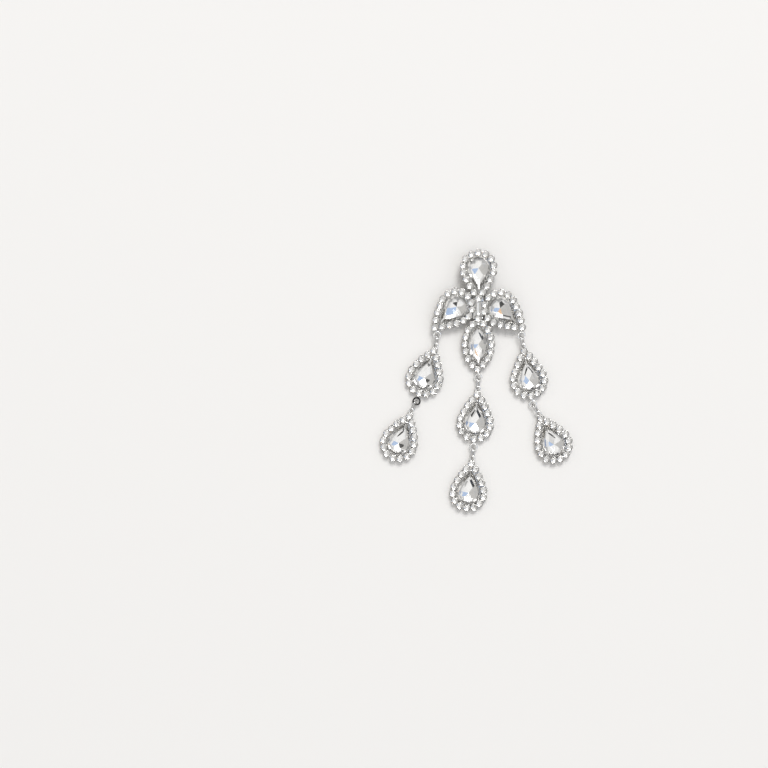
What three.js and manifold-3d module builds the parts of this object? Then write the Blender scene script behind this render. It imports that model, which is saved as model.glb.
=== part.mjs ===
// Chandelier earring in rhodium-plated brass and clear crystal, lying face up on a flat surface.
// A soldered cluster of three pear petals, a navette and a baguette carries three strands of two pear drops.
// Millimetres. +Z is up, out of the stones' faces, and +Y points to the top of the earring.
// The origin is on the surface, under the middle of the earring's outline.

import * as THREE from 'three';
import { mergeVertices } from 'three/addons/utils/BufferGeometryUtils.js';
import Module from 'manifold-3d';

const wasm = await Module();
wasm.setup();

// The main stones
const PEAR_WIDTH = 7.1; // across the round end
const PEAR_LENGTH = 10.7; // from the round end to the point
const PEAR_SHOULDER = 22; // degrees above the widest line where the long side arcs begin
const NAVETTE_WIDTH = 5.6;
const NAVETTE_LENGTH = 12.6;
const BAGUETTE_WIDTH = 1.3;
const BAGUETTE_LENGTH = 4.6;
const GIRDLE_HEIGHT = 2.8; // of a main stone's widest edge, above the back of its setting
const GIRDLE_THICKNESS = 0.2;
const CROWN_HEIGHT = 1.0;
const CROWN_SLOPE = 34; // degrees
const PAVILION_SLOPE = 31; // degrees
const CROWN_FACETS = 12;
const PAVILION_FACETS = 8;
const BAGUETTE_GIRDLE = 2.4;
const BAGUETTE_CROWN = 0.45;
const BAGUETTE_STEP = 0.2; // width of the outer of the two steps on its crown
const BAGUETTE_SLOPES = { outerStep: 55, innerStep: 35, pavilion: 60 }; // degrees
const STONE_GAP = 0.2; // between a main stone and its setting

// The round stones of the halos and the cups that hold them
const HALO = 1.65; // from a main stone's edge to the middles of the round stones round it
const HALO_STONES = 16;
const CUP_RADIUS = 1.18;
const CUP_FOOT = 0.25; // of the cups, above the back of the setting
const CUP_HEIGHT = 2.1;
const CHATON_TABLE_RADIUS = 0.6;
const CHATON_CROWN = 0.45; // height of the crown over the cup's rim
const CHATON_SIDES = 8;

// The metal of the settings
const PLATE_THICKNESS = 0.6;
const PLATE_REACH = 0.45; // of the back plate, outside the middles of the cups
const COLLET_WALL = 0.22;
const COLLET_LIP = 0.15; // of the collet's rim over the girdle
const BAGUETTE_WALL = 0.2;

// The cluster: how far its petals stand from the middle of the baguette
const END_REACH = 3.55; // to the round stones above and below
const SIDE_REACH = 2.05; // to the round stones at the sides
const CENTRE_PLATE = 1.2; // of the plate behind the baguette, past its edge
const WINGS = [
  { side: 'left', sign: -1, heading: 46.5, rise: 0.5, loopHeading: 14 },
  { side: 'right', sign: 1, heading: 48.5, rise: 0.1, loopHeading: 5 },
];

// The loops and eyes are soldered on, and an oval link joins each loop to the eye below it
const LOOP_RADIUS = 1.15; // of the wire's centreline
const LOOP_WIRE = 0.5;
const LOOP_STEM = 0.3; // from the cup to the loop
const EYE_RADIUS = 0.78;
const EYE_WIRE = 0.4;
const EYE_REACH = 0.5; // from the cup to the middle of the eye
const LOOP_LEVEL = 1.45; // of loops and eyes, above the back of their setting
const LINK_LENGTH = 3.7; // of the wire's centreline
const LINK_HEIGHT = 2.0; // of the wire's centreline
const LINK_WIRE = 0.55;
const LINK_ROLL = 25; // degrees by which a link leans over from standing on edge

// Which way each link and drop lies, in degrees from straight down, positive to the right
const STRANDS = [
  { name: 'left', upper: { link: -8, drop: -19 }, lower: { link: -27, drop: -22 } },
  { name: 'centre', upper: { link: -1, drop: -4.5 }, lower: { link: -5, drop: -6.5 } },
  { name: 'right', upper: { link: 12, drop: 9.5 }, lower: { link: 31, drop: 26 } },
];

// The clip behind the top petal is one bent strip with a round paddle
const CLIP_WIDTH = 4.4;
const CLIP_PADDLE = 8.0; // diameter of the round end
const CLIP_LENGTH = 14.0;
const CLIP_PAD = 0.6; // thickness of the leaf against the setting
const CLIP_PAD_LENGTH = 11.0;
const CLIP_SPRING = 0.7; // thickness of the leaf behind the ear
const CLIP_MOUTH = 1.0; // between the two leaves
const CLIP_GAP = 0.2; // between the clip and the setting
const CLIP_FOOT = 3.0; // of the bend, above the middle of the baguette

// How finely the round forms are divided
const OUTLINE_STEPS = 22;
const RING_SIDES = 10;
const WIRE_SIDES = 5;
const PADDLE_SIDES = 20;
const BEND_STEPS = 6;
const OVERCUT = 1.0; // by which a cut runs past the face that it opens

const HALO_TIP = pearPath(HALO).getPoint(0).y;
const HALO_ROUND = PEAR_WIDTH / 2 + HALO;
const COLLET_HEIGHT = GIRDLE_HEIGHT + COLLET_LIP;
const LOOP_OFFSET = CUP_RADIUS + LOOP_STEM + LOOP_RADIUS + LOOP_WIRE / 2;
const EYE_OFFSET = CUP_RADIUS + EYE_REACH;
const CLIP_THICKNESS = CLIP_PAD + CLIP_MOUTH + CLIP_SPRING;

const rhodium = new THREE.MeshStandardMaterial({ color: '#c9cacb', roughness: 0.22, metalness: 1 });
const crystal = new THREE.MeshStandardMaterial({ color: '#eef1f3', roughness: 0.05, metalness: 0.1 });

// A pear outline with its point towards +Y and the middle of its round end at the origin.
// It starts at the point, runs anticlockwise, and lies outside the stone's edge by grow all round.
function pearPath(grow) {
  const round = PEAR_WIDTH / 2;
  const point = PEAR_LENGTH - round;
  const shoulder = THREE.MathUtils.degToRad(PEAR_SHOULDER);
  const rise = Math.sin(shoulder);
  const side = (round ** 2 + point ** 2 - 2 * point * round * rise) / (2 * (round - point * rise));
  const across = (side - round) * Math.cos(shoulder);
  const down = (round - side) * rise;
  const tip = Math.acos(across / (side + grow));
  const path = new THREE.Path();
  path.absarc(across, down, side + grow, Math.PI - tip, Math.PI - shoulder);
  path.absarc(0, 0, round + grow, Math.PI - shoulder, 2 * Math.PI + shoulder);
  path.absarc(-across, down, side + grow, shoulder, tip);
  return path;
}

// A navette outline round the origin, its length along Y. It starts at the upper point.
function navettePath(grow) {
  const half = NAVETTE_WIDTH / 2;
  const radius = (half ** 2 + (NAVETTE_LENGTH / 2) ** 2) / NAVETTE_WIDTH;
  const tip = Math.acos((radius - half) / (radius + grow));
  const path = new THREE.Path();
  path.absarc(radius - half, 0, radius + grow, Math.PI - tip, Math.PI + tip);
  path.absarc(half - radius, 0, radius + grow, -tip, tip);
  return path;
}

// The first point of a closed path is also its last, so one of the two is dropped.
function pointsAlong(path, count) {
  return path.getSpacedPoints(count).slice(0, count);
}

function baguettePoints(grow) {
  const x = BAGUETTE_WIDTH / 2 + grow;
  const y = BAGUETTE_LENGTH / 2 + grow;
  return [[x, -y], [x, y], [-x, y], [-x, -y]].map((corner) => new THREE.Vector2(...corner));
}

// The direction in degrees from straight down, positive to the right.
function towards(heading, distance) {
  const angle = THREE.MathUtils.degToRad(heading);
  return new THREE.Vector3(Math.sin(angle), -Math.cos(angle), 0).multiplyScalar(distance);
}

// A closed geometry as a solid that can be joined and cut.
function solidOf(geometry) {
  const bare = geometry.clone();
  bare.deleteAttribute('normal');
  bare.deleteAttribute('uv');
  const merged = mergeVertices(bare, 1e-4);
  const corners = merged.index.array;
  const triangles = [];
  for (let i = 0; i < corners.length; i += 3) {
    const [a, b, c] = corners.slice(i, i + 3);
    if (a !== b && b !== c && c !== a) triangles.push(a, b, c);
  }
  const mesh = new wasm.Mesh({
    numProp: 3,
    vertProperties: new Float32Array(merged.attributes.position.array),
    triVerts: new Uint32Array(triangles),
  });
  return new wasm.Manifold(mesh);
}

function meshOf(name, solid, material) {
  const { vertProperties, triVerts } = solid.getMesh();
  const geometry = new THREE.BufferGeometry();
  geometry.setAttribute('position', new THREE.BufferAttribute(new Float32Array(vertProperties), 3));
  geometry.setIndex(new THREE.BufferAttribute(new Uint32Array(triVerts), 1));
  geometry.computeVertexNormals();
  const mesh = new THREE.Mesh(geometry, material);
  mesh.name = name;
  return mesh;
}

// The outline's points as an upright prism from height low to height high.
function prism(points, low, high) {
  const shape = new THREE.Shape(points);
  const geometry = new THREE.ExtrudeGeometry(shape, { depth: high - low, bevelEnabled: false });
  return solidOf(geometry.translate(0, 0, low));
}

// Where facets meet the girdle: places spread evenly along the outline, each with its direction inwards.
function facetEdges(path, count) {
  return Array.from({ length: count }, (_, i) => {
    const u = (i + 0.5) / count;
    const along = path.getTangentAt(u);
    return { at: path.getPointAt(u), inward: new THREE.Vector2(-along.y, along.x) };
  });
}

// One row of facets rises (up = 1) or falls (up = -1) inwards from its edges at the slope.
function cutFacets(stone, edges, height, slope, up) {
  const lean = THREE.MathUtils.degToRad(slope);
  return edges.reduce((cut, { at, inward }) => {
    const normal = [inward.x * Math.sin(lean), inward.y * Math.sin(lean), -up * Math.cos(lean)];
    const offset = normal[0] * at.x + normal[1] * at.y + normal[2] * height;
    return cut.trimByPlane(normal, offset);
  }, stone);
}

// A pear or navette stone has a crown, a thin girdle and a pavilion, cut off flat over the plate.
function mainStone(outline) {
  const points = pointsAlong(outline, OUTLINE_STEPS);
  const blank = prism(points, PLATE_THICKNESS + STONE_GAP, GIRDLE_HEIGHT + CROWN_HEIGHT);
  const crowned = cutFacets(blank, facetEdges(outline, CROWN_FACETS), GIRDLE_HEIGHT, CROWN_SLOPE, 1);
  const pavilionEdge = GIRDLE_HEIGHT - GIRDLE_THICKNESS;
  return cutFacets(crowned, facetEdges(outline, PAVILION_FACETS), pavilionEdge, PAVILION_SLOPE, -1);
}

// The baguette is step cut: two rows of four facets above its girdle and one row below.
function baguetteStone() {
  const edges = (inset) =>
    [[1, 0], [0, 1], [-1, 0], [0, -1]].map(([x, y]) => ({
      at: new THREE.Vector2(x * (BAGUETTE_WIDTH / 2 - inset), y * (BAGUETTE_LENGTH / 2 - inset)),
      inward: new THREE.Vector2(-x, -y),
    }));
  const blank = prism(baguettePoints(0), PLATE_THICKNESS + STONE_GAP, BAGUETTE_GIRDLE + BAGUETTE_CROWN);
  const { outerStep, innerStep, pavilion } = BAGUETTE_SLOPES;
  const outer = cutFacets(blank, edges(0), BAGUETTE_GIRDLE, outerStep, 1);
  const stepHeight = BAGUETTE_GIRDLE + BAGUETTE_STEP * Math.tan(THREE.MathUtils.degToRad(outerStep));
  const inner = cutFacets(outer, edges(BAGUETTE_STEP), stepHeight, innerStep, 1);
  return cutFacets(inner, edges(0), BAGUETTE_GIRDLE - GIRDLE_THICKNESS, pavilion, -1);
}

// A round stone in its cup: a straight wall, then the crown up to the table.
function chaton(at) {
  const profile = [
    new THREE.Vector2(0, CUP_FOOT),
    new THREE.Vector2(CUP_RADIUS, CUP_FOOT),
    new THREE.Vector2(CUP_RADIUS, CUP_HEIGHT),
    new THREE.Vector2(CHATON_TABLE_RADIUS, CUP_HEIGHT + CHATON_CROWN),
    new THREE.Vector2(0, CUP_HEIGHT + CHATON_CROWN),
  ];
  const geometry = new THREE.LatheGeometry(profile, CHATON_SIDES).rotateX(Math.PI / 2);
  return solidOf(geometry).translate([at.x, at.y, 0]);
}

// A back plate, a raised collet open at the top for the main stone, and the round stones in their cups.
function setting(outline) {
  const layer = (grow, low, high) => prism(pointsAlong(outline(grow), OUTLINE_STEPS), low, high);
  const plate = layer(HALO + PLATE_REACH, 0, PLATE_THICKNESS);
  const wall = layer(STONE_GAP + COLLET_WALL, CUP_FOOT, COLLET_HEIGHT);
  const seat = layer(STONE_GAP, PLATE_THICKNESS, COLLET_HEIGHT + OVERCUT);
  const cups = pointsAlong(outline(HALO), HALO_STONES).map(chaton);
  return wasm.Manifold.union([plate, wall, ...cups]).subtract(seat);
}

function ring(at, radius, wire) {
  const geometry = new THREE.TorusGeometry(radius, wire / 2, WIRE_SIDES, RING_SIDES);
  return solidOf(geometry).translate([at.x, at.y, LOOP_LEVEL]);
}

// A loop stands off from its cup on a short stem, in the direction of the heading.
function loop(cup, heading) {
  const stemLength = LOOP_OFFSET - LOOP_RADIUS;
  const stem = new THREE.CylinderGeometry(LOOP_WIRE / 2, LOOP_WIRE / 2, stemLength, WIRE_SIDES);
  stem.translate(0, -stemLength / 2, 0).rotateZ(THREE.MathUtils.degToRad(heading));
  const centre = new THREE.Vector3(cup.x, cup.y, 0).add(towards(heading, LOOP_OFFSET));
  return ring(centre, LOOP_RADIUS, LOOP_WIRE).add(solidOf(stem).translate([cup.x, cup.y, LOOP_LEVEL]));
}

// An oval link in its own XY plane, its length along X.
function linkSolid() {
  const bend = LINK_HEIGHT / 2;
  const geometry = new THREE.TorusGeometry(bend, LINK_WIRE / 2, WIRE_SIDES, RING_SIDES);
  geometry.rotateZ(Math.PI / RING_SIDES);
  const position = geometry.attributes.position;
  for (let i = 0; i < position.count; i += 1) {
    const x = position.getX(i);
    position.setX(i, x + Math.sign(x) * (LINK_LENGTH / 2 - bend));
  }
  return solidOf(geometry);
}

// The clip's side view is a hairpin, and its front view is a strip that ends in a round paddle.
function clipSolid() {
  const bend = CLIP_THICKNESS / 2;
  const hollow = CLIP_MOUTH / 2;
  const side = new THREE.Shape();
  side.moveTo(CLIP_PAD_LENGTH, 0);
  side.lineTo(bend, 0);
  side.absarc(bend, -bend, bend, Math.PI / 2, (3 * Math.PI) / 2);
  side.lineTo(CLIP_LENGTH, -CLIP_THICKNESS);
  side.lineTo(CLIP_LENGTH, CLIP_SPRING - CLIP_THICKNESS);
  side.lineTo(bend, CLIP_SPRING - CLIP_THICKNESS);
  side.absarc(bend, -CLIP_PAD - hollow, hollow, (3 * Math.PI) / 2, Math.PI / 2, true);
  side.lineTo(CLIP_PAD_LENGTH, -CLIP_PAD);
  const sideways = new THREE.Matrix4().makeBasis(
    new THREE.Vector3(0, 1, 0),
    new THREE.Vector3(0, 0, 1),
    new THREE.Vector3(1, 0, 0),
  );
  const hairpin = new THREE.ExtrudeGeometry(side, {
    depth: CLIP_PADDLE,
    bevelEnabled: false,
    curveSegments: BEND_STEPS,
  });
  hairpin.applyMatrix4(sideways).translate(-CLIP_PADDLE / 2, 0, 0);
  const paddleMiddle = CLIP_LENGTH - CLIP_PADDLE / 2;
  const strip = new THREE.BoxGeometry(CLIP_WIDTH, paddleMiddle, 2 * CLIP_THICKNESS);
  strip.translate(0, paddleMiddle / 2, 0);
  const round = CLIP_PADDLE / 2;
  const paddle = new THREE.CylinderGeometry(round, round, 2 * CLIP_THICKNESS, PADDLE_SIDES);
  paddle.rotateX(Math.PI / 2).translate(0, paddleMiddle, 0);
  return solidOf(hairpin).intersect(solidOf(strip).add(solidOf(paddle)));
}

// The cluster lies back on its clip and on the navette's point, which lifts the top petal.
// Returns its group and the middles of its three loops, from left to right, in the group's own frame.
function buildCluster() {
  const cluster = new THREE.Group();
  const navetteHalf = navettePath(HALO).getPoint(0).y;
  const topMiddle = END_REACH + HALO_TIP;
  const navetteMiddle = -END_REACH - navetteHalf;
  const navettePoint = new THREE.Vector3(0, navetteMiddle - navetteHalf, 0);
  const loops = [navettePoint.clone().add(towards(0, LOOP_OFFSET))];

  const top = setting(pearPath).rotate([0, 0, 180]).translate([0, topMiddle, 0]);
  const navette = setting(navettePath).translate([0, navetteMiddle, 0]);
  const metal = [top, navette, loop(navettePoint, 0)];
  const stones = [
    meshOf('top_stone', mainStone(pearPath(0)).rotate([0, 0, 180]).translate([0, topMiddle, 0]), crystal),
    meshOf('navette_stone', mainStone(navettePath(0)).translate([0, navetteMiddle, 0]), crystal),
    meshOf('centre_stone', baguetteStone(), crystal),
  ];

  for (const { side, sign, heading, rise, loopHeading } of WINGS) {
    const middle = new THREE.Vector3(sign * (SIDE_REACH + HALO_ROUND), rise, 0);
    const turn = [0, 0, 180 + sign * heading];
    const point = middle.clone().add(towards(sign * heading, HALO_TIP));
    metal.push(setting(pearPath).rotate(turn).translate(middle.toArray()));
    metal.push(loop(point, -sign * loopHeading));
    const stone = mainStone(pearPath(0)).rotate(turn).translate(middle.toArray());
    stones.push(meshOf(`${side}_wing_stone`, stone, crystal));
    const centre = point.add(towards(-sign * loopHeading, LOOP_OFFSET));
    if (sign < 0) loops.unshift(centre);
    else loops.push(centre);
  }

  const centrePlate = prism(baguettePoints(CENTRE_PLATE), 0, PLATE_THICKNESS);
  const centreWall = prism(baguettePoints(STONE_GAP + BAGUETTE_WALL), CUP_FOOT, BAGUETTE_GIRDLE);
  const centreSeat = prism(baguettePoints(STONE_GAP), PLATE_THICKNESS, BAGUETTE_GIRDLE + OVERCUT);
  const frame = wasm.Manifold.union([...metal, centrePlate, centreWall]).subtract(centreSeat);

  const clip = meshOf('ear_clip', clipSolid(), rhodium);
  clip.position.set(0, CLIP_FOOT, -CLIP_GAP);
  cluster.add(meshOf('cluster_frame', frame, rhodium), ...stones, clip);

  const foot = navetteMiddle - navettePath(HALO + PLATE_REACH).getPoint(0).y;
  const lean = Math.atan2(CLIP_GAP + CLIP_THICKNESS, CLIP_FOOT + CLIP_THICKNESS / 2 - foot);
  cluster.rotation.x = lean;
  cluster.position.z = -foot * Math.sin(lean);
  cluster.updateMatrix();
  return { cluster, loops: loops.map((centre) => centre.setZ(LOOP_LEVEL).applyMatrix4(cluster.matrix)) };
}

// A link spans from the middle of a loop to the middle of the eye that hangs from it, nearly on edge.
function buildLink(name, from, to) {
  const link = meshOf(name, linkSolid(), rhodium);
  const along = to.clone().sub(from).normalize();
  const across = new THREE.Vector3(0, 0, 1).cross(along).normalize();
  const upright = along.clone().cross(across);
  link.quaternion.setFromRotationMatrix(new THREE.Matrix4().makeBasis(along, upright, across.negate()));
  link.rotateX(THREE.MathUtils.degToRad(LINK_ROLL));
  link.position.copy(from).add(to).multiplyScalar(0.5);
  return link;
}

// A drop has an eye at its point, and an upper one also has a loop at its round end.
function buildDrop(name, hasLoop) {
  const drop = new THREE.Group();
  const point = new THREE.Vector3(0, HALO_TIP, 0);
  const metal = [setting(pearPath), ring(point.clone().add(towards(180, EYE_OFFSET)), EYE_RADIUS, EYE_WIRE)];
  if (hasLoop) metal.push(loop(new THREE.Vector3(0, -HALO_ROUND, 0), 0));
  const frame = wasm.Manifold.union(metal);
  drop.add(meshOf(`${name}_frame`, frame, rhodium), meshOf(`${name}_stone`, mainStone(pearPath(0)), crystal));
  return drop;
}

// Lays a link and a drop below a loop, flat on the surface, and returns the middle of the drop's own loop.
function layDrop(earring, name, from, angles, hasLoop) {
  const fall = from.z - LOOP_LEVEL;
  const reach = Math.sqrt(LINK_LENGTH ** 2 - fall ** 2);
  const eye = from.clone().add(towards(angles.link, reach)).setZ(LOOP_LEVEL);
  const drop = buildDrop(name, hasLoop);
  drop.rotation.z = THREE.MathUtils.degToRad(angles.drop);
  drop.position.copy(eye).add(towards(angles.drop, EYE_OFFSET + HALO_TIP)).setZ(0);
  drop.updateMatrix();
  earring.add(buildLink(`${name}_link`, from, eye), drop);
  return new THREE.Vector3(0, -HALO_ROUND - LOOP_OFFSET, LOOP_LEVEL).applyMatrix4(drop.matrix);
}

const earring = new THREE.Group();
const { cluster, loops } = buildCluster();
earring.add(cluster);
STRANDS.forEach(({ name, upper, lower }, i) => {
  const middle = layDrop(earring, `${name}_upper`, loops[i], upper, true);
  layDrop(earring, `${name}_lower`, middle, lower, false);
});

const outline = new THREE.Box3().setFromObject(earring, true);
const middle = outline.getCenter(new THREE.Vector3());
earring.position.set(-middle.x, -middle.y, -outline.min.z);

export default earring;
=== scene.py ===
import math

import bpy
from mathutils import Matrix, Vector


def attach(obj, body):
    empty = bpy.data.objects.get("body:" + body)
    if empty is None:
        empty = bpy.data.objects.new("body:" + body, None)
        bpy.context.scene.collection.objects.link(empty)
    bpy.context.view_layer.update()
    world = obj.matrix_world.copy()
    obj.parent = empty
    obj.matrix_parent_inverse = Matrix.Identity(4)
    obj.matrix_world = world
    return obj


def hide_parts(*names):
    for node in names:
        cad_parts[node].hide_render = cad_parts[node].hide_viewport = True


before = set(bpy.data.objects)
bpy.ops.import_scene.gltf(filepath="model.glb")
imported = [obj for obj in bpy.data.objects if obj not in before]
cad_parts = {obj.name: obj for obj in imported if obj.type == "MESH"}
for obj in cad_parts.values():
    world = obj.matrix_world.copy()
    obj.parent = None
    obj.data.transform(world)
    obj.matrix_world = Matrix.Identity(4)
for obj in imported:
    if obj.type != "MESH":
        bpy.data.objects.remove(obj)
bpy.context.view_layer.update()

# Camera: looks straight down on the earring, as the photograph does, from so far that nothing leans.
# The earring lies to the right of the picture's middle, at 3 pixels of the 768 to the millimetre.
PICTURE_WIDTH = 0.256
PICTURE_MIDDLE = (-0.0307, -0.0012)
LENS = 100
SENSOR = 36

camera_data = bpy.data.cameras.new("camera")
camera_data.lens = LENS
camera_data.sensor_width = SENSOR
camera_data.clip_start = 0.01
camera_data.clip_end = 10
camera = bpy.data.objects.new("camera", camera_data)
camera.location = (*PICTURE_MIDDLE, PICTURE_WIDTH * LENS / SENSOR)
bpy.context.scene.collection.objects.link(camera)
bpy.context.scene.camera = camera


# Crystal: lead glass, cut and polished by machine, which is clear, bright and quite smooth.
# Foil: the silver on the backs of the same stones, a faintly clouded mirror that throws the light back out.
CRYSTAL_COLOUR = "#FFFFFF"
CRYSTAL_IOR = 1.56
FOIL_COLOUR = "#FAF9F7"
FOIL_SHADE = "#E6E5E3"
FOIL_ROUGHNESS = 0.04
FOIL_CLOUD_MM = 1.6
FOIL_FACES_DOWN = -0.1
MM_PER_M = 1000
# A Mix node has sockets for each kind of data. These are the numbers of the ones for colours.
MIX_FIRST = 6
MIX_SECOND = 7
MIX_RESULT = 2


def linear(colour):
    """An sRGB hex colour as linear red, green, blue and alpha."""
    parts = [int(colour[i : i + 2], 16) / 255 for i in (1, 3, 5)]
    return [p / 12.92 if p <= 0.04045 else ((p + 0.055) / 1.055) ** 2.4 for p in parts] + [1]


def add_node(tree, kind, links=(), **settings):
    """Adds a node, sets its inputs or properties by name, and links its inputs to other nodes' outputs."""
    node = tree.nodes.new(kind)
    for name, value in settings.items():
        socket = node.inputs.get(name.replace("_", " "))
        if socket is not None:
            socket.default_value = value
        else:
            setattr(node, name, value)
    for socket, output in links:
        tree.links.new(output, node.inputs[socket])
    return node


def new_material(name):
    """An empty node material: its tree and its output node."""
    material = bpy.data.materials.new(name)
    material.use_nodes = True
    tree = material.node_tree
    tree.nodes.clear()
    return material, tree, tree.nodes.new("ShaderNodeOutputMaterial")


crystal, tree, output = new_material("cut_crystal")
glass = add_node(tree, "ShaderNodeBsdfPrincipled", Base_Color=linear(CRYSTAL_COLOUR), Roughness=0.0,
                 IOR=CRYSTAL_IOR, Transmission_Weight=1.0)
tree.links.new(glass.outputs[0], output.inputs["Surface"])

foil, tree, output = new_material("silver_foil")
place = add_node(tree, "ShaderNodeTexCoord")
cloud = add_node(tree, "ShaderNodeTexNoise", [("Vector", place.outputs["Object"])],
                 Scale=MM_PER_M / FOIL_CLOUD_MM, Detail=2.0)
tint = add_node(tree, "ShaderNodeMix", [("Factor", cloud.outputs["Fac"])], data_type="RGBA")
tint.inputs[MIX_FIRST].default_value = linear(FOIL_COLOUR)
tint.inputs[MIX_SECOND].default_value = linear(FOIL_SHADE)
mirror = add_node(tree, "ShaderNodeBsdfPrincipled", [("Base Color", tint.outputs[MIX_RESULT])],
                  Metallic=1.0, Roughness=FOIL_ROUGHNESS)
tree.links.new(mirror.outputs[0], output.inputs["Surface"])


# Pear stones: nine alike, of lead glass, each cut from a pear-shaped blank with a crown, a girdle and a back.
# Each facet is ground flat at its place along the outline, as a stone cutter does, and then polished.
# Sizes are in millimetres, heights are above the back of the setting, and slopes are in degrees from level.
PEAR_WIDTH = 7.1
PEAR_LENGTH = 10.7
PEAR_SHOULDER = math.radians(22)
PEAR_LIP = 0.25
GIRDLE = 2.8
GIRDLE_THICKNESS = 0.15
TABLE = 3.8
STONE_STEPS = 12
OUTWARD_SPAN = 0.01
MERGE_WITHIN = 0.001
CUT_WITHIN = 1e-5


def pear_arcs(grow):
    """The pear outline as arcs from its point, anticlockwise, outside the stone's edge by grow.
    An arc is its middle's x and y, its radius, and its first and last angle."""
    round_end = PEAR_WIDTH / 2
    point = PEAR_LENGTH - round_end
    rise = math.sin(PEAR_SHOULDER)
    side = (round_end**2 + point**2 - 2 * point * round_end * rise) / (2 * (round_end - point * rise))
    across = (side - round_end) * math.cos(PEAR_SHOULDER)
    down = (round_end - side) * rise
    tip = math.acos(across / (side + grow))
    return [
        (across, down, side + grow, math.pi - tip, math.pi - PEAR_SHOULDER),
        (0, 0, round_end + grow, math.pi - PEAR_SHOULDER, 2 * math.pi + PEAR_SHOULDER),
        (-across, down, side + grow, PEAR_SHOULDER, tip),
    ]


def spot(arcs, share):
    """The place at that share of the way along the arcs."""
    lengths = [radius * (last - first) for _, _, radius, first, last in arcs]
    remaining = (share % 1) * sum(lengths)
    for (x, y, radius, first, last), length in zip(arcs, lengths):
        if remaining <= length:
            angle = first + remaining / radius
            return Vector((x + radius * math.cos(angle), y + radius * math.sin(angle), 0))
        remaining -= length
    x, y, radius, first, last = arcs[-1]
    return Vector((x + radius * math.cos(last), y + radius * math.sin(last), 0))


def outward(arcs, share):
    """The level direction straight out of the outline there, which at a sharp point is the middle one."""
    chord = spot(arcs, share + OUTWARD_SPAN) - spot(arcs, share - OUTWARD_SPAN)
    return Vector((chord.y, -chord.x, 0)).normalized()


def blank(name, arcs, low, high, steps):
    """An upright slab with that outline, left in edit mode. One point is spun along each arc in turn, in
    that many steps, and the face inside is extruded."""
    bpy.ops.object.select_all(action="DESELECT")
    start = spot(arcs, 0)
    bpy.ops.mesh.primitive_plane_add(size=0.1, location=(start.x, start.y, low))
    piece = bpy.context.object
    piece.name = name
    bpy.ops.object.transform_apply(location=True, rotation=True, scale=True)
    bpy.ops.object.mode_set(mode="EDIT")
    bpy.ops.mesh.select_mode(type="VERT")
    bpy.ops.mesh.select_all(action="SELECT")
    bpy.ops.mesh.merge(type="CENTER")
    for x, y, radius, first, last in arcs:
        bpy.ops.mesh.spin(steps=steps, angle=first - last, center=(x, y, low), axis=(0, 0, 1))
    bpy.ops.mesh.select_all(action="SELECT")
    bpy.ops.mesh.remove_doubles(threshold=MERGE_WITHIN)
    bpy.ops.mesh.edge_face_add()
    bpy.ops.mesh.extrude_region_move(TRANSFORM_OT_translate={"value": (0, 0, high - low)})
    bpy.ops.mesh.select_all(action="SELECT")
    bpy.ops.mesh.normals_make_consistent(inside=False)
    return piece


def cut_flat(at, out, lean, up):
    """Cuts off all that stands past the plane through the place, in edit mode, and closes the cut.
    The plane faces outwards and leans that far from level, upwards or downwards."""
    bpy.ops.mesh.select_all(action="SELECT")
    normal = (out.x * math.sin(lean), out.y * math.sin(lean), up * math.cos(lean))
    bpy.ops.mesh.bisect(plane_co=at, plane_no=normal, use_fill=True, clear_outer=True, threshold=CUT_WITHIN)


def grind(arcs, count, shift, height, slope, inset=0.0, up=1):
    """Cuts a row of flat facets, the first one shifted along by that share of a facet.
    They meet the outline, inset by that much, at the height."""
    for i in range(count):
        share = (i + shift) / count
        out = outward(arcs, share)
        at = spot(arcs, share) - out * inset
        cut_flat((at.x, at.y, height), out, math.radians(slope), up)


def back_with_foil(piece):
    """Leaves edit mode and gives the faces that look down the foil, and the others the clear crystal."""
    bpy.ops.object.mode_set(mode="OBJECT")
    piece.data.materials.append(crystal)
    piece.data.materials.append(foil)
    for face in piece.data.polygons:
        face.material_index = 1 if face.normal.z < FOIL_FACES_DOWN else 0


# Each row of the crown: number of facets, shift along by a share of one, height, slope and inset.
CROWN_ROWS = ((16, 0.5, GIRDLE, 34, 0.0), (8, 0.5, GIRDLE + 0.05, 27, 0.0), (8, 0.0, TABLE, 13, 2.1))
RIM_FACETS = 16
RIM_SLOPE = 38
MAINS = 10
MAINS_INSET = 0.9
MAINS_EDGE = 1.95
MAINS_CULET = 1.35
KITES = 6
KITES_CULET = 1.5
KITES_SLOPE = 8


def star(arcs, count, slope_to, culet):
    """Cuts a ring of flat facets off the back. All of them meet at the culet, under the origin.
    A facet's slope comes from how far out the outline is there."""
    for i in range(count):
        out = outward(arcs, i / count)
        cut_flat((0, 0, culet), out, slope_to(spot(arcs, i / count).dot(out)), -1)


def brilliant(name, arcs):
    """A stone in the brilliant cut. Its crown has three rows of facets round the table. Its back has a
    steep row along the girdle, long main facets to the culet, and a star of flat kites at the culet."""
    piece = blank(name, arcs, MAINS_CULET, TABLE, STONE_STEPS)
    for row in CROWN_ROWS:
        grind(arcs, *row)
    grind(arcs, RIM_FACETS, 0.5, GIRDLE - GIRDLE_THICKNESS, RIM_SLOPE, up=-1)
    star(arcs, MAINS, lambda reach: math.atan2(MAINS_EDGE - MAINS_CULET, reach - MAINS_INSET), MAINS_CULET)
    star(arcs, KITES, lambda reach: math.radians(KITES_SLOPE), KITES_CULET)
    back_with_foil(piece)
    return piece


pear_model = brilliant("pear_model", pear_arcs(PEAR_LIP))


# Navette stone: one, of the same glass, pointed at both ends and cut like the pears.
# It is set upright under the centre of the cluster, and its edge reaches well out over its collet.
NAVETTE_WIDTH = 5.6
NAVETTE_LENGTH = 12.6
NAVETTE_LIP = 0.42


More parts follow.
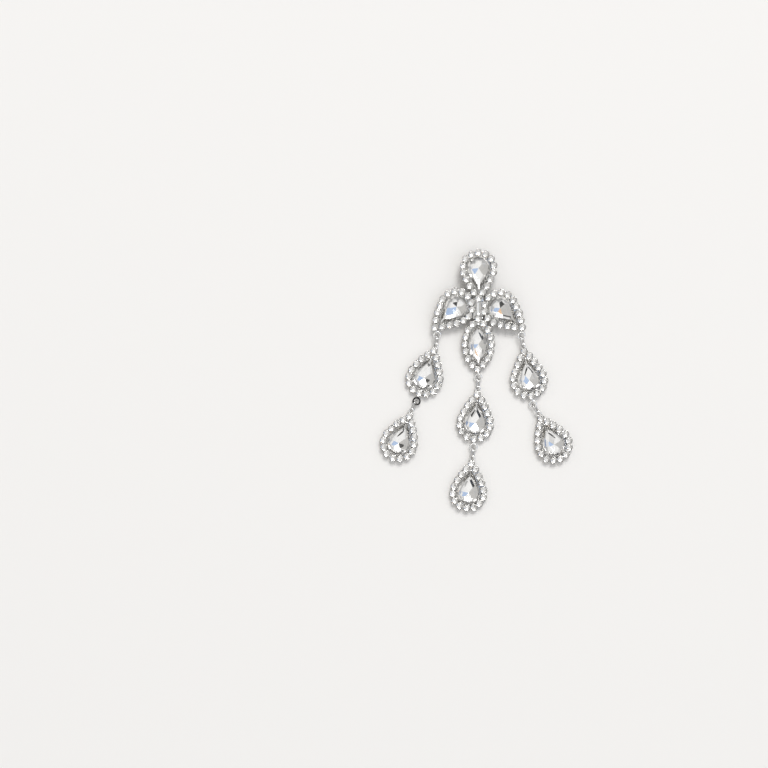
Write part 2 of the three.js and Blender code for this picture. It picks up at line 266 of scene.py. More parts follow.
def navette_arcs(grow):
    """The navette outline as two arcs from its upper point, anticlockwise."""
    half = NAVETTE_WIDTH / 2
    radius = (half**2 + (NAVETTE_LENGTH / 2) ** 2) / NAVETTE_WIDTH
    tip = math.acos((radius - half) / (radius + grow))
    return [
        (radius - half, 0, radius + grow, math.pi - tip, math.pi + tip),
        (half - radius, 0, radius + grow, -tip, tip),
    ]


navette_model = brilliant("navette_model", navette_arcs(NAVETTE_LIP))


# Baguette: a narrow bar of the same glass, set upright between the wings. It is step-cut:
# two steps above its girdle and two below run all the way round it.
BAGUETTE_WIDTH = 1.3
BAGUETTE_LENGTH = 4.6
BAGUETTE_TABLE = 2.85
BAGUETTE_CULET = 1.9
# Each step: upwards or downwards, height, slope and inset.
BAGUETTE_STEPS = ((1, 2.4, 55, 0), (1, 2.7, 35, 0.2), (-1, 2.25, 35, 0), (-1, 2.05, 14, 0.3))

bpy.ops.object.select_all(action="DESELECT")
bpy.ops.mesh.primitive_cube_add(size=1, location=(0, 0, (BAGUETTE_CULET + BAGUETTE_TABLE) / 2))
baguette_model = bpy.context.object
baguette_model.name = "baguette_model"
baguette_model.scale = BAGUETTE_WIDTH, BAGUETTE_LENGTH, BAGUETTE_TABLE - BAGUETTE_CULET
bpy.ops.object.transform_apply(location=True, rotation=True, scale=True)
bpy.ops.object.mode_set(mode="EDIT")
for up, height, slope, inset in BAGUETTE_STEPS:
    for x, y in ((1, 0), (0, 1), (-1, 0), (0, -1)):
        reach = abs(x) * BAGUETTE_WIDTH / 2 + abs(y) * BAGUETTE_LENGTH / 2 - inset
        cut_flat((x * reach, y * reach, height), Vector((x, y, 0)), math.radians(slope), up)
back_with_foil(baguette_model)


# Round stones: a hundred and sixty small brilliants, sixteen round every large stone but the baguette.
# Each is cut by machine from the same glass, and its back is silvered too.
ROUND_RADIUS = 1.18
ROUND_GIRDLE = 2.1
ROUND_GIRDLE_THICKNESS = 0.05
ROUND_TABLE = 2.52
ROUND_CULET = 1.75
ROUND_FACETS = 8
ROUND_CROWN_SLOPE = 40
ROUND_TABLE_SLOPE = 18
ROUND_TABLE_INSET = 0.55
ROUND_RIM_SLOPE = 30
ROUND_BACK_SLOPE = 13.5
ROUND_STEPS = 16


def round_arcs(radius):
    """A circle as one arc, from its top, anticlockwise."""
    return [(0, 0, radius, math.pi / 2, 2.5 * math.pi)]


edge = round_arcs(ROUND_RADIUS)
round_model = blank("round_model", edge, ROUND_CULET, ROUND_TABLE, ROUND_STEPS)
grind(edge, ROUND_FACETS, 0.5, ROUND_GIRDLE, ROUND_CROWN_SLOPE)
grind(edge, ROUND_FACETS, 0, ROUND_TABLE, ROUND_TABLE_SLOPE, ROUND_TABLE_INSET)
grind(edge, ROUND_FACETS, 0, ROUND_GIRDLE - ROUND_GIRDLE_THICKNESS, ROUND_RIM_SLOPE, up=-1)
star(edge, ROUND_FACETS, lambda reach: math.radians(ROUND_BACK_SLOPE), ROUND_CULET)
back_with_foil(round_model)


# Rhodium plate over brass: bright white metal, polished by tumbling, so its shine is a little uneven and
# its tint wanders slightly. Rub marks soften its reflections, drawn coarser than real ones so that they show.
# The soft wire of the loops and eyes is plated brighter. One loop is painted dark all over, a painted
# reflection of something dark.
RHODIUM_COLOUR = "#E4E3E1"
RHODIUM_SHADE = "#B9B8B6"
WIRE_COLOUR = "#FCFBF9"
WIRE_SHADE = "#EDECEA"
# Painted reflection: these two dark tints colour one loop all over, standing in for a reflection of something
# dark.
PAINTED_REFLECTION_COLOUR = "#4A4948"
PAINTED_REFLECTION_SHADE = "#232322"
RHODIUM_SHINE = (0.07, 0.2)
RUB_MM = 0.35
RUB_STRENGTH = 0.12
RUB_DEPTH = 0.00003
PATCH_MM = 2.5


def plate_material(name, colour, shade):
    """Plated metal whose tint wanders between the two colours."""
    material, tree, output = new_material(name)
    place = add_node(tree, "ShaderNodeTexCoord")
    patches = add_node(tree, "ShaderNodeTexNoise", [("Vector", place.outputs["Object"])],
                       Scale=MM_PER_M / PATCH_MM, Detail=3.0)
    tint = add_node(tree, "ShaderNodeMix", [("Factor", patches.outputs["Fac"])], data_type="RGBA")
    tint.inputs[MIX_FIRST].default_value = linear(colour)
    tint.inputs[MIX_SECOND].default_value = linear(shade)
    rubs = add_node(tree, "ShaderNodeTexNoise", [("Vector", place.outputs["Object"])],
                    Scale=MM_PER_M / RUB_MM, Detail=2.0)
    shine = add_node(tree, "ShaderNodeMapRange", [("Value", rubs.outputs["Fac"])],
                     To_Min=RHODIUM_SHINE[0], To_Max=RHODIUM_SHINE[1])
    bump = add_node(tree, "ShaderNodeBump", [("Height", rubs.outputs["Fac"])],
                    Strength=RUB_STRENGTH, Distance=RUB_DEPTH)
    metal = add_node(tree, "ShaderNodeBsdfPrincipled", [("Base Color", tint.outputs[MIX_RESULT]),
                     ("Roughness", shine.outputs[0]), ("Normal", bump.outputs[0])], Metallic=1.0)
    tree.links.new(metal.outputs[0], output.inputs["Surface"])
    return material


rhodium = plate_material("rhodium_plate", RHODIUM_COLOUR, RHODIUM_SHADE)
bright_wire = plate_material("bright_wire_plate", WIRE_COLOUR, WIRE_SHADE)
# Painted reflection: the dark plate for the one loop, whose dark tint stands in for a reflected dark thing.
painted_reflection = plate_material("painted_reflection_plate", PAINTED_REFLECTION_COLOUR, PAINTED_REFLECTION_SHADE)


def plate(piece, finish):
    """Plates the piece all over with that finish."""
    piece.data.materials.clear()
    piece.data.materials.append(finish)
    return piece


# Cups: one for each round stone, pressed from thin brass and open above. Four wire claws are folded
# over the stone's edge, and the cup is soldered to the plate of its setting.
CUP_RADIUS = 1.12
CUP_FOOT = 0.25
CUP_RIM = 2.04
CUP_WALL = 0.16
CUP_SEAT = 1.2
CLAW_RADIUS = 0.15
CLAW_RISE = 0.34
CLAW_LEAN = 0.2
CLAW_OFFSET = 0.02
CLAW_SIDES = 6
CLAW_TIP = 1.5
# Each bend of a claw's tip: share of the lean, rise in claw radii, and how much narrower it ends.
CLAW_BENDS = ((0.6, 1.0, 0.85), (0.4, 0.5, 0.45))
FACES_UP = 0.9
SAME_LEVEL = 0.01


def select(piece, choose):
    """Selects the faces for which choose is true, and nothing else."""
    bpy.ops.mesh.select_all(action="DESELECT")
    bpy.ops.object.mode_set(mode="OBJECT")
    for face in piece.data.polygons:
        face.select = choose(face)
    bpy.ops.object.mode_set(mode="EDIT")
    bpy.ops.mesh.select_mode(type="FACE")


def claw(at, inwards, foot, top, radius):
    """A wire claw that stands at the place, bends inwards near its top and ends in a round tip."""
    bpy.ops.object.select_all(action="DESELECT")
    bend = top - radius * CLAW_TIP
    bpy.ops.mesh.primitive_cylinder_add(vertices=CLAW_SIDES, radius=radius, depth=bend - foot,
                                        location=(at.x, at.y, (foot + bend) / 2))
    piece = bpy.context.object
    bpy.ops.object.transform_apply(location=True, rotation=True, scale=True)
    bpy.ops.object.mode_set(mode="EDIT")
    select(piece, lambda face: face.normal.z > FACES_UP)
    for lean, rise, narrowing in CLAW_BENDS:
        over = (inwards.x * lean, inwards.y * lean, radius * rise)
        bpy.ops.mesh.extrude_region_move(TRANSFORM_OT_translate={"value": over})
        bpy.ops.transform.resize(value=(narrowing, narrowing, 1))
    bpy.ops.object.mode_set(mode="OBJECT")
    return piece


def join(name, parts):
    """Joins the parts into the first one, and names it."""
    bpy.ops.object.select_all(action="DESELECT")
    for part in parts:
        part.select_set(True)
    bpy.context.view_layer.objects.active = parts[0]
    bpy.ops.object.join()
    parts[0].name = name
    return parts[0]


def hollow(piece, top, wall, seat):
    """Insets the piece's top face by the wall and sinks it to the seat, which leaves an open cup."""
    bpy.ops.object.mode_set(mode="EDIT")
    select(piece, lambda face: face.normal.z > FACES_UP and face.center.z > top - SAME_LEVEL)
    bpy.ops.mesh.inset(thickness=wall, depth=0)
    bpy.ops.mesh.extrude_region_move(TRANSFORM_OT_translate={"value": (0, 0, seat - top)})
    bpy.ops.object.mode_set(mode="OBJECT")


cup_wall = blank("cup_wall", round_arcs(CUP_RADIUS), CUP_FOOT, CUP_RIM, ROUND_STEPS)
bpy.ops.object.mode_set(mode="OBJECT")
hollow(cup_wall, CUP_RIM, CUP_WALL, CUP_SEAT)
diagonals = [Vector((x, y, 0)) / math.sqrt(2) for x in (1, -1) for y in (1, -1)]
claws = [
    claw(way * (CUP_RADIUS + CLAW_OFFSET), way * -CLAW_LEAN, CUP_SEAT, CUP_RIM + CLAW_RISE, CLAW_RADIUS)
    for way in diagonals
]
cup_model = plate(join("cup_model", [cup_wall, *claws]), rhodium)


# Settings: a flat back plate with a raised collet, cast in one, that holds the large stone with claws.
# The cups of the halo are soldered round it on the plate.
HALO = 1.65
HALO_STONES = 16
PLATE_TOP = 0.55
PLATE_REACH = 0.45
COLLET_GAP = 0.02
COLLET_WALL = 0.3
COLLET_TOP = 2.5
GRIP_OFFSET = 0.12
GRIP_RADIUS = 0.22
GRIP_TOP = 3.15
GRIP_LEAN = 0.5
PEAR_GRIPS = (0, 0.2, 0.4, 0.6, 0.8)
NAVETTE_GRIPS = (0, 0.17, 0.33, 0.5, 0.67, 0.83)
PLATE_ROUNDING = 0.1
ROUNDING_STEPS = 2
SHARP = math.radians(50)
SETTING_STEPS = 28


def rounded(piece, width):
    """Leaves edit mode and rounds the piece's sharp edges."""
    bpy.ops.object.mode_set(mode="OBJECT")
    rounding = piece.modifiers.new("rounding", "BEVEL")
    rounding.width = width
    rounding.segments = ROUNDING_STEPS
    rounding.limit_method = "ANGLE"
    rounding.angle_limit = SHARP
    bpy.context.view_layer.objects.active = piece
    bpy.ops.object.modifier_apply(modifier=rounding.name)


def setting(name, arcs_of, lip, grips):
    """The plate, collet and claws of one large stone, with its back at height 0.
    Each claw stands at one of the grips' shares of the way along the outline."""
    back = blank(name, arcs_of(HALO + PLATE_REACH), 0, PLATE_TOP, SETTING_STEPS)
    rounded(back, PLATE_ROUNDING)
    collet = blank("collet", arcs_of(COLLET_GAP + COLLET_WALL), CUP_FOOT, COLLET_TOP, SETTING_STEPS)
    bpy.ops.object.mode_set(mode="OBJECT")
    hollow(collet, COLLET_TOP, COLLET_WALL, PLATE_TOP)
    rounded(collet, PLATE_ROUNDING)
    parts = [back, collet]
    for share in grips:
        at = spot(arcs_of(lip + GRIP_OFFSET), share)
        inwards = outward(arcs_of(0), share) * -GRIP_LEAN
        parts.append(claw(at, inwards, PLATE_TOP, GRIP_TOP, GRIP_RADIUS))
    return plate(join(name, parts), rhodium)


pear_setting = setting("pear_setting", pear_arcs, PEAR_LIP, PEAR_GRIPS)
navette_setting = setting("navette_setting", navette_arcs, NAVETTE_LIP, NAVETTE_GRIPS)


# Centre setting: a plate that joins the four petals, and a low box collet for the baguette.
# Its four corner claws are pushed over the stone.
CENTRE_REACH = 1.2
CENTRE_WALL = 0.25
CENTRE_TOP = 2.45
CENTRE_ROUNDING = 0.05
CENTRE_CLAW = 0.2
CENTRE_CLAW_DEPTH = 0.6
CENTRE_CLAW_RISE = 0.3
CENTRE_CLAW_LEAN = 0.13


def bar(name, grow, low, high):
    """A box round the baguette's outline, grown by that much."""
    bpy.ops.object.select_all(action="DESELECT")
    bpy.ops.mesh.primitive_cube_add(size=1, location=(0, 0, (low + high) / 2))
    piece = bpy.context.object
    piece.name = name
    piece.scale = BAGUETTE_WIDTH + 2 * grow, BAGUETTE_LENGTH + 2 * grow, high - low
    bpy.ops.object.transform_apply(location=True, rotation=True, scale=True)
    return piece


centre_plate = bar("centre_plate", CENTRE_REACH, 0, PLATE_TOP)
rounded(centre_plate, PLATE_ROUNDING)
centre_collet = bar("centre_collet", COLLET_GAP + CENTRE_WALL, CUP_FOOT, CENTRE_TOP)
hollow(centre_collet, CENTRE_TOP, CENTRE_WALL, PLATE_TOP)
rounded(centre_collet, CENTRE_ROUNDING)
corner = Vector((BAGUETTE_WIDTH / 2, BAGUETTE_LENGTH / 2, 0)) + Vector((1, 1, 0)) * COLLET_GAP
centre_claws = [
    claw(Vector((x * corner.x, y * corner.y, 0)), Vector((-x, -y, 0)) * CENTRE_CLAW_LEAN,
         CENTRE_TOP - CENTRE_CLAW_DEPTH, CENTRE_TOP + CENTRE_CLAW_RISE, CENTRE_CLAW)
    for x in (1, -1) for y in (1, -1)
]
centre_setting = plate(join("centre_setting", [centre_plate, centre_collet, *centre_claws]), rhodium)


# Loops and eyes: rings of soft brass wire, rolled flat, closed, and soldered to a cup by a short stem.
# They lie level. A link hangs in each loop and passes through the eye of the drop below.
LOOP_RADIUS = 1.15
LOOP_WIRE = 0.5
LOOP_OFFSET = 2.88
EYE_RADIUS = 0.78
EYE_WIRE = 0.4
EYE_OFFSET = 1.68
LOOP_LEVEL = 1.45
RING_FLATNESS = 0.5
RING_STEPS = 32
WIRE_SIDES = 12
STEM_THICKNESS = 0.55
STEM_IN_CUP = 0.3
STEM_IN_WIRE = 0.3


def soldered_ring(cup, heading, offset, radius, wire):
    """A level ring at that offset from the middle of its cup, with the stem between them."""
    bpy.ops.object.select_all(action="DESELECT")
    level = Vector((0, 0, LOOP_LEVEL))
    middle = cup + heading * offset
    bpy.ops.mesh.primitive_torus_add(major_radius=radius, minor_radius=wire / 2, major_segments=RING_STEPS,
                                     minor_segments=WIRE_SIDES, location=middle + level)
    hoop = bpy.context.object
    hoop.scale.z = RING_FLATNESS
    bpy.ops.object.transform_apply(location=True, rotation=True, scale=True)
    bpy.ops.object.select_all(action="DESELECT")
    inner = cup + heading * (CUP_RADIUS - STEM_IN_CUP)
    outer = middle - heading * (radius - wire * STEM_IN_WIRE)
    bpy.ops.mesh.primitive_cylinder_add(vertices=WIRE_SIDES, radius=wire * STEM_THICKNESS,
                                        depth=(outer - inner).length,
                                        location=(inner + outer) / 2 + level,
                                        rotation=heading.to_track_quat("Z", "Y").to_euler())
    stem = bpy.context.object
    bpy.ops.object.transform_apply(location=True, rotation=True, scale=True)
    return plate(join("soldered_ring", [hoop, stem]), bright_wire)


# Cluster: the top petal, two wing petals, the navette and the baguette, soldered into one piece.
# Its upper end rests on the clip, so it lies a little aslant. Its three loops carry the strands.
# Each packed stone says where its setting stands, and the metal is built up round it.
DOWN = Vector((0, -1, 0))
# The loop of each wing, and its heading in degrees from straight down.
WING_LOOPS = (("left_wing_stone", 14), ("right_wing_stone", -5))
TABLE_FACES_UP = 0.97
SAME_POINT_DIGITS = 5
CUP_TIP = math.radians(2.5)
# These numbers mean nothing by themselves. They tip each cup its own way.
CUP_SCATTER = ((41, 7000), (29, 9000))
SMOOTH_UP_TO = math.radians(38)


def copied(model, seat):
    """A copy of the model with its own mesh, moved to the seat."""
    piece = bpy.data.objects.new(model.name, model.data.copy())
    piece.data.transform(seat)
    bpy.context.scene.collection.objects.link(piece)
    return piece


def corners_of(node):
    """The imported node's corner points, each one once."""
    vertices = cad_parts[node].data.vertices
    points = {tuple(round(value, SAME_POINT_DIGITS) for value in vertex.co) for vertex in vertices}
    return [Vector(point) for point in sorted(points)]


def seat_of(node, table, reach):
    """Where a packed stone's setting stands, as a matrix from the setting's own millimetres.
    There the stone's table faces Z at that height, and its point is at Y = reach."""
    faces = [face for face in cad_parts[node].data.polygons if face.normal.z > TABLE_FACES_UP]
    up = sum((face.normal * face.area for face in faces), Vector()).normalized()
    points = corners_of(node)
    level = max(point.dot(up) for point in points)
    points = [point + up * (level - point.dot(up)) for point in points]
    middle = sum(points, Vector()) / len(points)
    tip = max(points, key=lambda point: (round((point - middle).length, SAME_POINT_DIGITS), point.y))
    along = (tip - middle).normalized()
    origin = tip - along * reach / MM_PER_M - up * table / MM_PER_M
    turn = Matrix((along.cross(up), along, up)).transposed().to_4x4()
    return Matrix.Translation(origin) @ turn @ Matrix.Scale(1 / MM_PER_M, 4)


def halo(model, arcs, seat):
    """A copy of the model at each place of the halo, turned to face out of it.
    Each is tipped a little its own way, because the cups are set and soldered by hand."""
    copies = []
    foot = Matrix.Translation(Vector((0, 0, CUP_FOOT)))
    (x_by_turn, x_by_place), (y_by_turn, y_by_place) = CUP_SCATTER
    for i in range(HALO_STONES):
        at, out = spot(arcs, i / HALO_STONES), outward(arcs, i / HALO_STONES)
        place = seat @ at
        turn = Matrix.Rotation(math.atan2(out.y, out.x), 4, "Z")
        axis = Vector((math.sin(x_by_turn * i + x_by_place * place.x),
                       math.cos(y_by_turn * i + y_by_place * place.y), 0))
        tip = Matrix.Rotation(CUP_TIP * axis.length, 4, axis)
        copies.append(copied(model, seat @ Matrix.Translation(at) @ foot @ tip @ foot.inverted() @ turn))
    return copies


def loop_middle(seat, cup, heading):
    """Where the loop that is soldered to the cup has its middle, on the earring."""
    return seat @ (cup + heading * LOOP_OFFSET + Vector((0, 0, LOOP_LEVEL)))


def dress(piece, node):
    """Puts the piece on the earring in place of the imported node."""
    bpy.ops.object.select_all(action="DESELECT")
    piece.select_set(True)
    bpy.context.view_layer.objects.active = piece
    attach(piece, "root")
    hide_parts(node)


def dress_metal(piece, node):
    """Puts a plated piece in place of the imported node, and shades it smooth between its sharp edges."""
    dress(piece, node)
    bpy.ops.object.shade_smooth_by_angle(angle=SMOOTH_UP_TO)


def set_stone(model, seat, name, node):
    """Sets a copy of the model in its setting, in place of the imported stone."""
    stone = copied(model, seat)
    stone.name = name
    dress(stone, node)


pear_reach = PEAR_LENGTH - PEAR_WIDTH / 2
halo_tip = spot(pear_arcs(HALO), 0)
navette_tip = spot(navette_arcs(HALO), 0)
petal_seats = {node: seat_of(node, TABLE, pear_reach)
               for node in ("top_stone", "left_wing_stone", "right_wing_stone")}
navette_seat = seat_of("navette_stone", TABLE, NAVETTE_LENGTH / 2)
cluster_up = navette_seat.col[2].xyz.normalized()
corners = corners_of("centre_stone")
centre_middle = sum(corners, Vector()) / len(corners)
centre_top = max((corner - centre_middle).dot(cluster_up) for corner in corners)
centre_seat = navette_seat.copy()
centre_seat.translation = centre_middle + cluster_up * (centre_top - BAGUETTE_TABLE / MM_PER_M)

metal = [copied(centre_setting, centre_seat), copied(navette_setting, navette_seat)]
rounds = []
for seat in petal_seats.values():
    metal.append(copied(pear_setting, seat))
    metal += halo(cup_model, pear_arcs(HALO), seat)
    rounds += halo(round_model, pear_arcs(HALO), seat)
metal += halo(cup_model, navette_arcs(HALO), navette_seat)
rounds += halo(round_model, navette_arcs(HALO), navette_seat)

loop_middles = {"centre": loop_middle(navette_seat, -navette_tip, DOWN)}
lower_loop = soldered_ring(-navette_tip, DOWN, LOOP_OFFSET, LOOP_RADIUS, LOOP_WIRE)
metal.append(copied(lower_loop, navette_seat))
for node, heading in WING_LOOPS:
    turn = math.radians(heading)
    way = Vector((math.sin(turn), -math.cos(turn), 0))
    cup = navette_seat.inverted() @ petal_seats[node] @ halo_tip
    wing_loop = soldered_ring(cup, way, LOOP_OFFSET, LOOP_RADIUS, LOOP_WIRE)
    wing_loop.data.transform(navette_seat)
    metal.append(wing_loop)
    side = node.split("_")[0]
    loop_middles[side] = loop_middle(navette_seat, cup, way)

dress_metal(join("cluster_setting", metal), "cluster_frame")
dress(join("cluster_rounds", rounds), "cluster_frame")
for node, seat in petal_seats.items():
    set_stone(pear_model, seat, node.replace("stone", "pear"), node)
set_stone(navette_model, navette_seat, "navette", "navette_stone")
set_stone(baguette_model, centre_seat, "baguette", "centre_stone")


# Drops: six alike, each a pear stone in its setting with a halo. An eye is soldered on at the point,
# and the upper three have a loop at the round end. The left one's loop is painted dark, a painted reflection
# of something dark.
# Links: ovals of round brass wire, each bent shut through a loop and the eye below, and lying on edge.
LINK_LENGTH = 3.7
LINK_HEIGHT = 2.0
LINK_WIRE = 0.55
LINK_ROLL = math.radians(25)
LINK_MIDDLE = 0.01

round_end = Vector((0, -(PEAR_WIDTH / 2 + HALO), 0))
eye_model = soldered_ring(halo_tip, Vector((0, 1, 0)), EYE_OFFSET, EYE_RADIUS, EYE_WIRE)
drop_loop_model = soldered_ring(round_end, DOWN, LOOP_OFFSET, LOOP_RADIUS, LOOP_WIRE)

bpy.ops.object.select_all(action="DESELECT")
bpy.ops.mesh.primitive_torus_add(major_radius=LINK_HEIGHT / 2, minor_radius=LINK_WIRE / 2,
                                 major_segments=RING_STEPS, minor_segments=WIRE_SIDES)
link_model = bpy.context.object
link_model.name = "link_model"
plate(link_model, rhodium)
for vertex in link_model.data.vertices:
    if abs(vertex.co.x) > LINK_MIDDLE:
        vertex.co.x += math.copysign((LINK_LENGTH - LINK_HEIGHT) / 2, vertex.co.x)

for side in ("left", "centre", "right"):
    hang_from = loop_middles[side]
    for level in ("upper", "lower"):
        drop = f"{side}_{level}"
        seat = seat_of(f"{drop}_stone", TABLE, pear_reach)
        metal = [copied(pear_setting, seat), copied(eye_model, seat)]
        # The left upper drop's loop gets the dark plate, a painted reflection of something dark.
        if level == "upper" and side == "left":
            loop = copied(drop_loop_model, seat)
            loop.name = "painted_reflection_loop"
            dress_metal(plate(loop, painted_reflection), f"{drop}_frame")
        elif level == "upper":
            metal.append(copied(drop_loop_model, seat))
        metal += halo(cup_model, pear_arcs(HALO), seat)
        dress_metal(join(f"{drop}_setting", metal), f"{drop}_frame")
        rounds = halo(round_model, pear_arcs(HALO), seat)
        dress(join(f"{drop}_rounds", rounds), f"{drop}_frame")
        set_stone(pear_model, seat, f"{drop}_pear", f"{drop}_stone")

        eye = seat @ (halo_tip + Vector((0, EYE_OFFSET, LOOP_LEVEL)))
        along = (eye - hang_from).normalized()
        across = Vector((0, 0, 1)).cross(along).normalized()
        turn = Matrix((along, along.cross(across), -across)).transposed().to_4x4()
        place = Matrix.Translation((eye + hang_from) / 2) @ turn @ Matrix.Rotation(LINK_ROLL, 4, "X")
        oval = copied(link_model, place @ Matrix.Scale(1 / MM_PER_M, 4))
        oval.name = f"{drop}_oval_link"
        dress_metal(oval, f"{drop}_link")
        hang_from = loop_middle(seat, round_end, DOWN)


# Clip: a springy strip of the same plated brass, bent to a hairpin, with a round paddle on either leaf.
# The front leaf is soldered behind the top petal. The photograph hides the clip, so it is kept plain.
CLIP_WIDTH = 4.4
CLIP_PADDLE = 8.0
CLIP_LENGTH = 14.0
CLIP_PAD_LENGTH = 11.0
CLIP_LEAF = 0.65
CLIP_MOUTH = 1.0
CLIP_GAP = 0.2
CLIP_FOOT = 3.0
CLIP_ROUNDING = 0.15
CLIP_BEND_STEPS = 24
PADDLE_SIDES = 64
SOLDER_RADIUS = 1.5
SOLDER_SIDES = 24
SOLDER_DEPTH = 1.5 * CLIP_GAP
SOLDER_PLACES = (4.5, 8.5)

bend = (CLIP_MOUTH + CLIP_LEAF) / 2
bend_start = bend + CLIP_LEAF / 2
front_level = -CLIP_GAP - CLIP_LEAF / 2
back_level = front_level - 2 * bend
paddle_middle = CLIP_LENGTH - CLIP_PADDLE / 2

bpy.ops.object.select_all(action="DESELECT")
bpy.ops.mesh.primitive_plane_add(size=1, location=(0, paddle_middle, back_level),
                                 rotation=(math.pi / 2, 0, 0))
strip = bpy.context.object
strip.name = "strip"
strip.scale = CLIP_WIDTH, CLIP_LEAF, 1
bpy.ops.object.transform_apply(location=True, rotation=True, scale=True)
bpy.ops.object.mode_set(mode="EDIT")
bpy.ops.mesh.select_all(action="SELECT")
bpy.ops.mesh.extrude_region_move(TRANSFORM_OT_translate={"value": (0, bend_start - paddle_middle, 0)})
bpy.ops.mesh.spin(steps=CLIP_BEND_STEPS, angle=math.pi, center=(0, bend_start, front_level - bend),
                  axis=(1, 0, 0))
bpy.ops.mesh.extrude_region_move(TRANSFORM_OT_translate={"value": (0, paddle_middle - bend_start, 0)})
bpy.ops.mesh.select_all(action="SELECT")
bpy.ops.mesh.remove_doubles(threshold=MERGE_WITHIN)
bpy.ops.mesh.normals_make_consistent(inside=False)
rounded(strip, CLIP_ROUNDING)

clip_parts = [strip]
for level, length in ((front_level, CLIP_PAD_LENGTH), (back_level, CLIP_LENGTH)):
    bpy.ops.object.select_all(action="DESELECT")
    bpy.ops.mesh.primitive_cylinder_add(vertices=PADDLE_SIDES, radius=CLIP_PADDLE / 2, depth=CLIP_LEAF,
                                        location=(0, paddle_middle, level))
    paddle = bpy.context.object
    bpy.ops.object.transform_apply(location=True, rotation=True, scale=True)
    bpy.ops.object.mode_set(mode="EDIT")
    bpy.ops.mesh.select_all(action="SELECT")
    bpy.ops.mesh.bisect(plane_co=(0, length, 0), plane_no=(0, 1, 0), use_fill=True, clear_outer=True)
    rounded(paddle, CLIP_ROUNDING)
    clip_parts.append(paddle)
for place in SOLDER_PLACES:
    bpy.ops.object.select_all(action="DESELECT")
    bpy.ops.mesh.primitive_cylinder_add(vertices=SOLDER_SIDES, radius=SOLDER_RADIUS, depth=SOLDER_DEPTH,
                                        location=(0, place, -CLIP_GAP / 2))
    clip_parts.append(bpy.context.object)
    bpy.ops.object.transform_apply(location=True, rotation=True, scale=True)
clip_model = plate(join("clip_model", clip_parts), rhodium)
hairpin = copied(clip_model, centre_seat @ Matrix.Translation(Vector((0, CLIP_FOOT, 0))))
hairpin.name = "hairpin_clip"
dress_metal(hairpin, "ear_clip")

# The models that the pieces were copied from go.
for model in (pear_model, navette_model, baguette_model, round_model, cup_model, pear_setting,
              navette_setting, centre_setting, lower_loop, eye_model, drop_loop_model, link_model,
              clip_model):
    bpy.data.objects.remove(model)


# Board: pale and matt, larger than the picture, and lit by a round soft box high up beyond its top edge.
# A white tent stands round it, darker towards its foot. Facets mirror what hangs in it: a grey cloth
# on the left, blue daylight on the right, four dark gaps and one small warm lamp.
BOARD_COLOUR = "#F1EFEC"
BOARD_ROUGHNESS = 0.9
BOARD_SIZE = 2.4
BOARD_LEVEL = -0.00002
KEY_POWER = 52
KEY_PLACE = (0.48, 1.86, 2.76)
KEY_SIZE = 1.35
TENT_COLOUR = "#FFFFFF"
TENT_FOOT = "#5F6063"
TENT_RISE = (0.2, 0.75)
TENT_LIGHT = 1.02
# What hangs in the tent: heading from +X and height in degrees, radius and soft edge in degrees, and colour.
TENT_CARDS = (
    (174, 50, 28, 8, "#C6C5C3"),
    (6, 62, 10, 2, "#B4CCF0"),
    (2, 20, 8, 3, "#8C9DBE"),
    (-66, 56, 5.5, 1.5, "#202020"),
    (-106, 54, 7, 1.5, "#202020"),
    (138, 65, 5, 1.5, "#303030"),
    (102, 28, 7, 2, "#303030"),
    (56, 72, 3, 1, "#F3C9A0"),
)

bpy.ops.object.select_all(action="DESELECT")
bpy.ops.mesh.primitive_plane_add(size=BOARD_SIZE, location=(0, 0, BOARD_LEVEL))
board = bpy.context.object
board.name = "board"
bpy.ops.object.transform_apply(location=True, rotation=True, scale=True)
matt, tree, output = new_material("matt_board")
card = add_node(tree, "ShaderNodeBsdfPrincipled", Base_Color=linear(BOARD_COLOUR),
                Roughness=BOARD_ROUGHNESS)
tree.links.new(card.outputs[0], output.inputs["Surface"])
board.data.materials.append(matt)

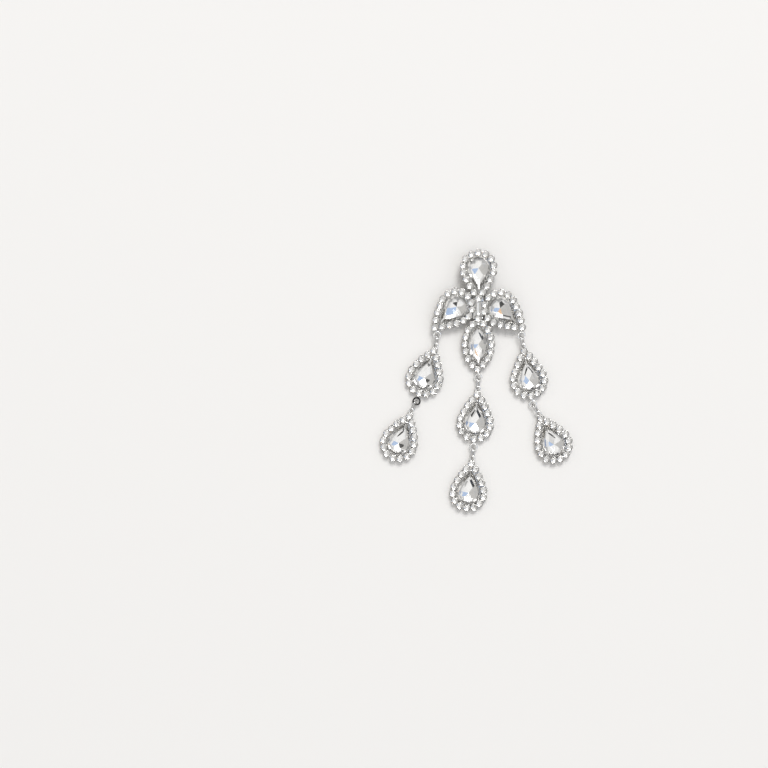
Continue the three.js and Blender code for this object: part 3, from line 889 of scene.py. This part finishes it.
key_data = bpy.data.lights.new("soft_box", "AREA")
key_data.shape = "DISK"
key_data.size = KEY_SIZE
key_data.energy = KEY_POWER
key = bpy.data.objects.new("soft_box", key_data)
key.location = KEY_PLACE
key.rotation_euler = key.location.to_track_quat("Z", "Y").to_euler()
bpy.context.scene.collection.objects.link(key)

room = bpy.data.worlds.new("tent")
bpy.context.scene.world = room
room.use_nodes = True
tree = room.node_tree
tree.nodes.clear()
look = add_node(tree, "ShaderNodeTexCoord")
height = add_node(tree, "ShaderNodeSeparateXYZ", [(0, look.outputs["Generated"])])
rise = add_node(tree, "ShaderNodeMapRange", [("Value", height.outputs["Z"])],
                From_Min=TENT_RISE[0], From_Max=TENT_RISE[1])
wall = add_node(tree, "ShaderNodeMix", [("Factor", rise.outputs[0])], data_type="RGBA")
wall.inputs[MIX_FIRST].default_value = linear(TENT_FOOT)
wall.inputs[MIX_SECOND].default_value = linear(TENT_COLOUR)
colour = wall.outputs[MIX_RESULT]
for heading, raised, radius, soft_edge, tone in TENT_CARDS:
    towards = add_node(tree, "ShaderNodeVectorMath", [(0, look.outputs["Generated"])],
                       operation="DOT_PRODUCT")
    turned, lifted = math.radians(heading), math.radians(raised)
    towards.inputs[1].default_value = (
        math.cos(lifted) * math.cos(turned), math.cos(lifted) * math.sin(turned), math.sin(lifted))
    edge = add_node(tree, "ShaderNodeMapRange", [("Value", towards.outputs["Value"])],
                    From_Min=math.cos(math.radians(radius + soft_edge)),
                    From_Max=math.cos(math.radians(radius)))
    mixed = add_node(tree, "ShaderNodeMix", [("Factor", edge.outputs[0]), (MIX_FIRST, colour)],
                     data_type="RGBA")
    mixed.inputs[MIX_SECOND].default_value = linear(tone)
    colour = mixed.outputs[MIX_RESULT]
sky = add_node(tree, "ShaderNodeBackground", [("Color", colour)], Strength=TENT_LIGHT)
tree.links.new(sky.outputs[0], tree.nodes.new("ShaderNodeOutputWorld").inputs["Surface"])

# Whites stay as in the photograph, and light may pass through crystal and off foil many times.
bpy.context.scene.view_settings.view_transform = "Standard"
bpy.context.scene.cycles.max_bounces = 20
bpy.context.scene.cycles.glossy_bounces = 14
bpy.context.scene.cycles.transmission_bounces = 16
